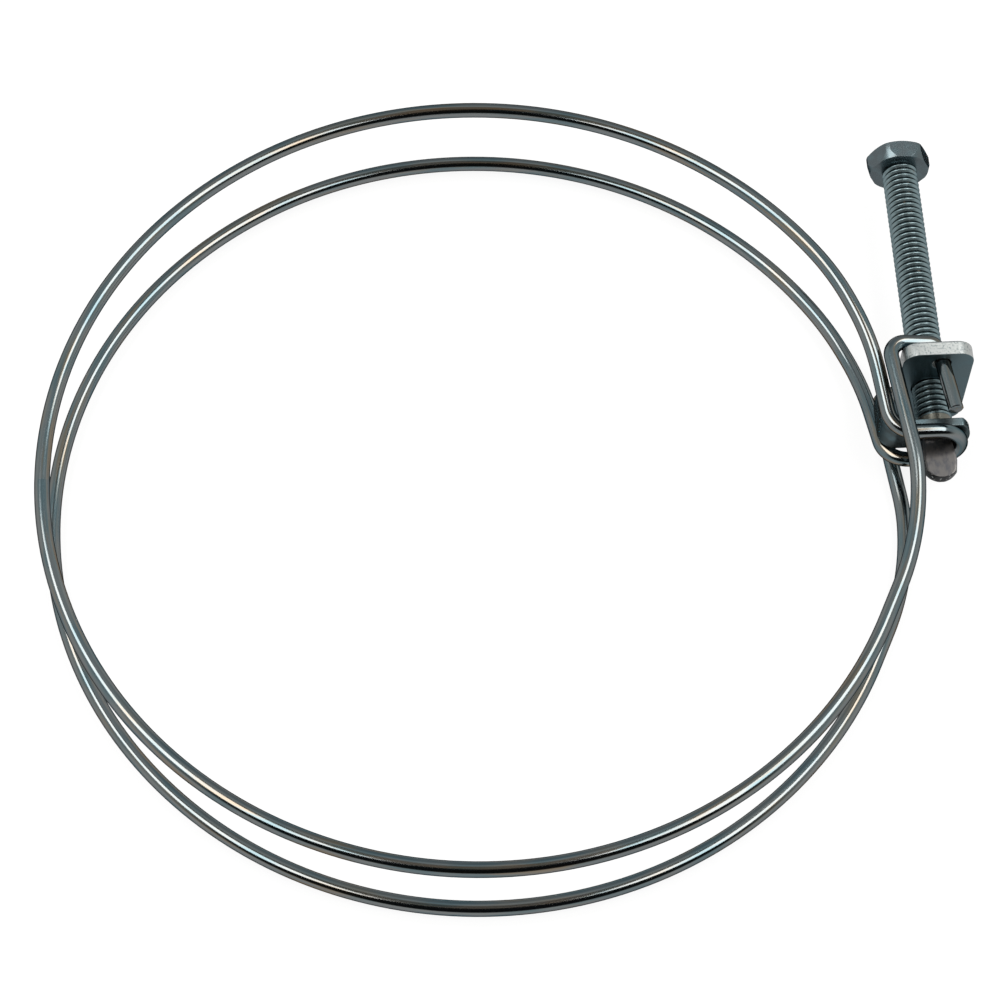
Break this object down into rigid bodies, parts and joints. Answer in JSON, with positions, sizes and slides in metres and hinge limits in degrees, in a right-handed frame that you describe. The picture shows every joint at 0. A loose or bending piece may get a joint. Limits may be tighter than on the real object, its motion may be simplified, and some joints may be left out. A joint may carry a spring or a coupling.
{
  "type": "ring clamp",
  "caption": "Wire hose clamp: one wire bent into twin hoops, hooked through a threaded plate and drawn tight by a hex screw that pushes a saddle.",
  "frame": {"origin": "common centre of the two hoops, halfway between them", "axes": "+Z along the hoops' axis, +X from the centre to the screw's side, +Y along the screw from its tip to its head"},
  "size_m": [0.122, 0.113, 0.0168],
  "materials": {
    "wire": "bright blue-white zinc plating on drawn wire",
    "plate": "bright zinc plating on stamped steel",
    "saddle": "bright zinc plating on stamped steel",
    "screw": "bright blue-white zinc plating, bare at the pinched tip"
  },
  "bodies": {
    "hoops": {"hoop_wire": "wire", "nut_plate": "plate"},
    "saddle": {"saddle": "saddle"},
    "screw": {"screw": "screw"}
  },
  "joints": [
    {"name": "saddle_slide", "type": "slide", "parent": "hoops", "child": "saddle", "axis": [0, -1, 0], "range_m": [-0.004, 0.028], "deforming": ["hoop_wire"]},
    {"name": "screw_turn", "type": "hinge", "parent": "saddle", "child": "screw", "pos_m": [0.06055, 0, 0], "axis": [0, -1, 0], "range_deg": [-1800, 12600]}
  ],
  "couplings": [
    {"joint": "screw_turn", "follows": "saddle_slide", "rad_per_m": 7854}
  ]
}
